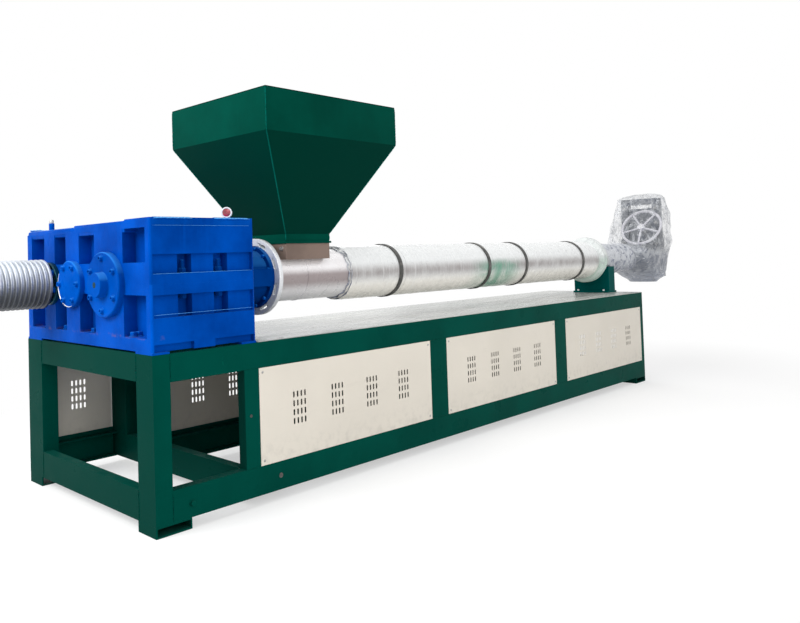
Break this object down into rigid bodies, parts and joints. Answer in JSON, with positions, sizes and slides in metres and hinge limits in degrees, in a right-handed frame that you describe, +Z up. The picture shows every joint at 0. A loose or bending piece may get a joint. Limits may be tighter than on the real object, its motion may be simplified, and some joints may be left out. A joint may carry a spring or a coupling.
{
  "type": "plastic pelletizing extruder",
  "caption": "Single-screw plastic pelletizing extruder on a welded bed with a gearbox, feed hopper, covered barrel, screen changer and handwheel.",
  "frame": {"origin": "bottom centre of the whole machine, on the ground", "axes": "+X along the screw from the drive end to the die, +Y from the front panels to the back, +Z up"},
  "size_m": [6.654, 1.336, 2.07],
  "materials": {
    "bed_green": "gloss enamel with brush marks and dust",
    "hopper_green": "gloss enamel",
    "gearbox_blue": "thick gloss enamel over castings",
    "panel_cream": "powder coat, faintly dusty",
    "deck_white": "glossy sheet that mirrors the barrel",
    "bare_steel": "turned steel with a thin oil film",
    "pulley_grey": "turned casting",
    "throat_grey": "grey-brown primer",
    "wrapped_cover": "clear film wound over pale covers",
    "strap_dark": "dark band",
    "changer_steel": "dark machined steel",
    "wheel_pale": "pale enamel under film",
    "gauge_red": "red dial with a pale rim"
  },
  "bodies": {
    "root": {"adaptor": "wrapped_cover", "back_panel_1": "panel_cream", "back_panel_2": "panel_cream", "back_panel_3": "panel_cream", "barrel": "bare_steel", "barrel_covers": "wrapped_cover", "barrel_saddle": "hopper_green", "barrel_straps": "strap_dark", "bed_posts": "bed_green", "bottom_cross_rails": "bed_green", "bottom_rails": "bed_green", "breather": "gearbox_blue", "changer_block": "changer_steel", "changer_frame": "changer_steel", "coupling_ring": "bare_steel", "deck_plate": "deck_white", "die_head": "changer_steel", "end_flange": "wrapped_cover", "feed_section": "bare_steel", "feed_throat": "throat_grey", "feet": "bed_green", "front_panel_1": "panel_cream", "front_panel_2": "panel_cream", "front_panel_3": "panel_cream", "gearbox_base": "gearbox_blue", "gearbox_cover": "gearbox_blue", "hopper": "hopper_green", "input_cap": "gearbox_blue", "middle_cap": "gearbox_blue", "oil_gauge": "gauge_red", "output_cap": "gearbox_blue", "panel_ledges": "bed_green", "slide_plate": "changer_steel", "step_cover": "bed_green", "thrust_housing": "gearbox_blue", "top_cross_rails": "bed_green", "top_rails": "bed_green", "wheel_box": "changer_steel", "wing_panel": "panel_cream", "wing_rails": "bed_green"},
    "pulley": {"drive_pulley": "pulley_grey", "input_shaft": "bare_steel"},
    "wheel": {"handwheel": "wheel_pale", "wheel_shaft": "bare_steel"}
  },
  "joints": [
    {"name": "pulley_spin", "type": "hinge", "parent": "root", "child": "pulley", "pos_m": [-3.165, 0.356, 1.105], "axis": [1, 0, 0], "continuous": true},
    {"name": "handwheel_spin", "type": "hinge", "parent": "root", "child": "wheel", "pos_m": [2.82911, -0.358, 1.4005], "axis": [-0.866, 0, 0.5], "continuous": true}
  ]
}
